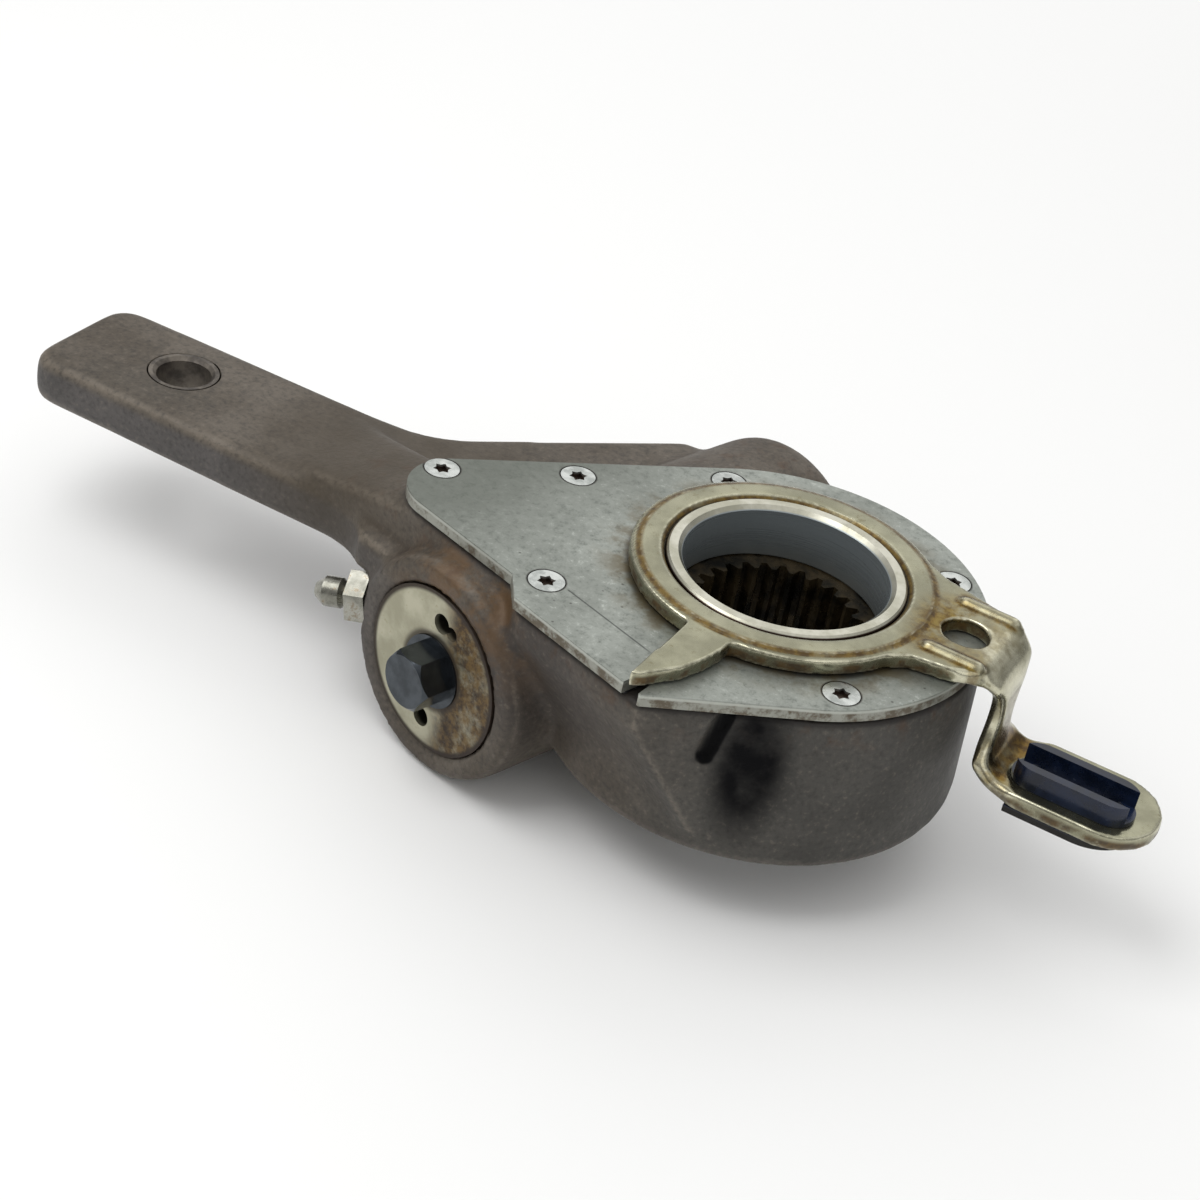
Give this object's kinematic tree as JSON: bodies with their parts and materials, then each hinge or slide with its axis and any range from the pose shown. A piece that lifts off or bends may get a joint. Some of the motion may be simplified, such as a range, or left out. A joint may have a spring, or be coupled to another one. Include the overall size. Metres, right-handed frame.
{
  "type": "brake slack adjuster",
  "caption": "Self-setting brake slack adjuster: cast lever with clevis arm, transverse worm boss, splined worm wheel, cover plate and a slotted control arm.",
  "frame": {"origin": "spline axis at the hub's lower face", "axes": "+Z along the spline axis towards the control arm, -X along the arm towards the clevis hole"},
  "size_m": [0.271, 0.1251, 0.0602],
  "materials": {
    "cast_body": "rough brown-grey cast skin",
    "bush_steel": "worn dull",
    "zinc_plate": "mottled die-cast zinc",
    "seal_rubber": "matt",
    "screw_steel": "zinc plated",
    "cover_steel": "yellowed zinc with rust",
    "plug_steel": "dull",
    "spring_steel": "oiled",
    "nipple_zinc": "bright zinc with rust tint",
    "plated_sheet": "yellow-plated with rust in the corners",
    "black_plastic": "glossy",
    "bright_steel": "ground",
    "inner_steel": "machined, oiled",
    "greasy_steel": "greased",
    "black_oxide": "blue-black oxide"
  },
  "bodies": {
    "body": {"housing": "cast_body", "clevis_bush": "bush_steel", "cover_plate": "zinc_plate", "cover_gasket": "seal_rubber", "cover_screws": "screw_steel", "hub_seal": "seal_rubber", "wheel_seal": "seal_rubber", "worm_cover": "cover_steel", "adjuster_seal": "seal_rubber", "rear_plug": "plug_steel", "worm_spring": "spring_steel", "grease_nipple": "nipple_zinc", "nipple_ball": "screw_steel"},
    "control": {"control_arm": "plated_sheet", "slot_liner": "black_plastic", "control_hub": "bright_steel", "control_disc": "inner_steel"},
    "rack": {"rack": "inner_steel"},
    "pinion": {"clutch_pinion": "inner_steel", "one_way_spring": "spring_steel"},
    "wheel": {"worm_wheel": "greasy_steel"},
    "adjuster": {"adjuster_shaft": "black_oxide", "worm": "inner_steel", "clutch_ring": "inner_steel", "thrust_washer": "inner_steel", "pinion_washer": "inner_steel"}
  },
  "joints": [
    {"name": "control_swing", "type": "hinge", "parent": "body", "child": "control", "pos_m": [0, 0, 0.04], "axis": [0, 0, 1], "range_deg": [-20, 20]},
    {"name": "rack_slide", "type": "slide", "parent": "body", "child": "rack", "axis": [0.9511, -0.309, 0], "range_m": [-0.0106, 0.0106]},
    {"name": "pinion_turn", "type": "hinge", "parent": "body", "child": "pinion", "pos_m": [-0.04013, 0.01304, 0.01], "axis": [-0.309, -0.9511, 0], "range_deg": [-67, 67]},
    {"name": "adjuster_turn", "type": "hinge", "parent": "body", "child": "adjuster", "pos_m": [-0.04013, 0.01304, 0.01], "axis": [-0.309, -0.9511, 0], "continuous": true},
    {"name": "wheel_turn", "type": "hinge", "parent": "body", "child": "wheel", "pos_m": [0, 0, 0.01], "axis": [0, 0, 1], "continuous": true}
  ],
  "couplings": [
    {"joint": "rack_slide", "follows": "control_swing", "m_per_rad": 0.03},
    {"joint": "pinion_turn", "follows": "control_swing", "ratio": -3.3333},
    {"joint": "wheel_turn", "follows": "adjuster_turn", "ratio": -0.045455}
  ]
}
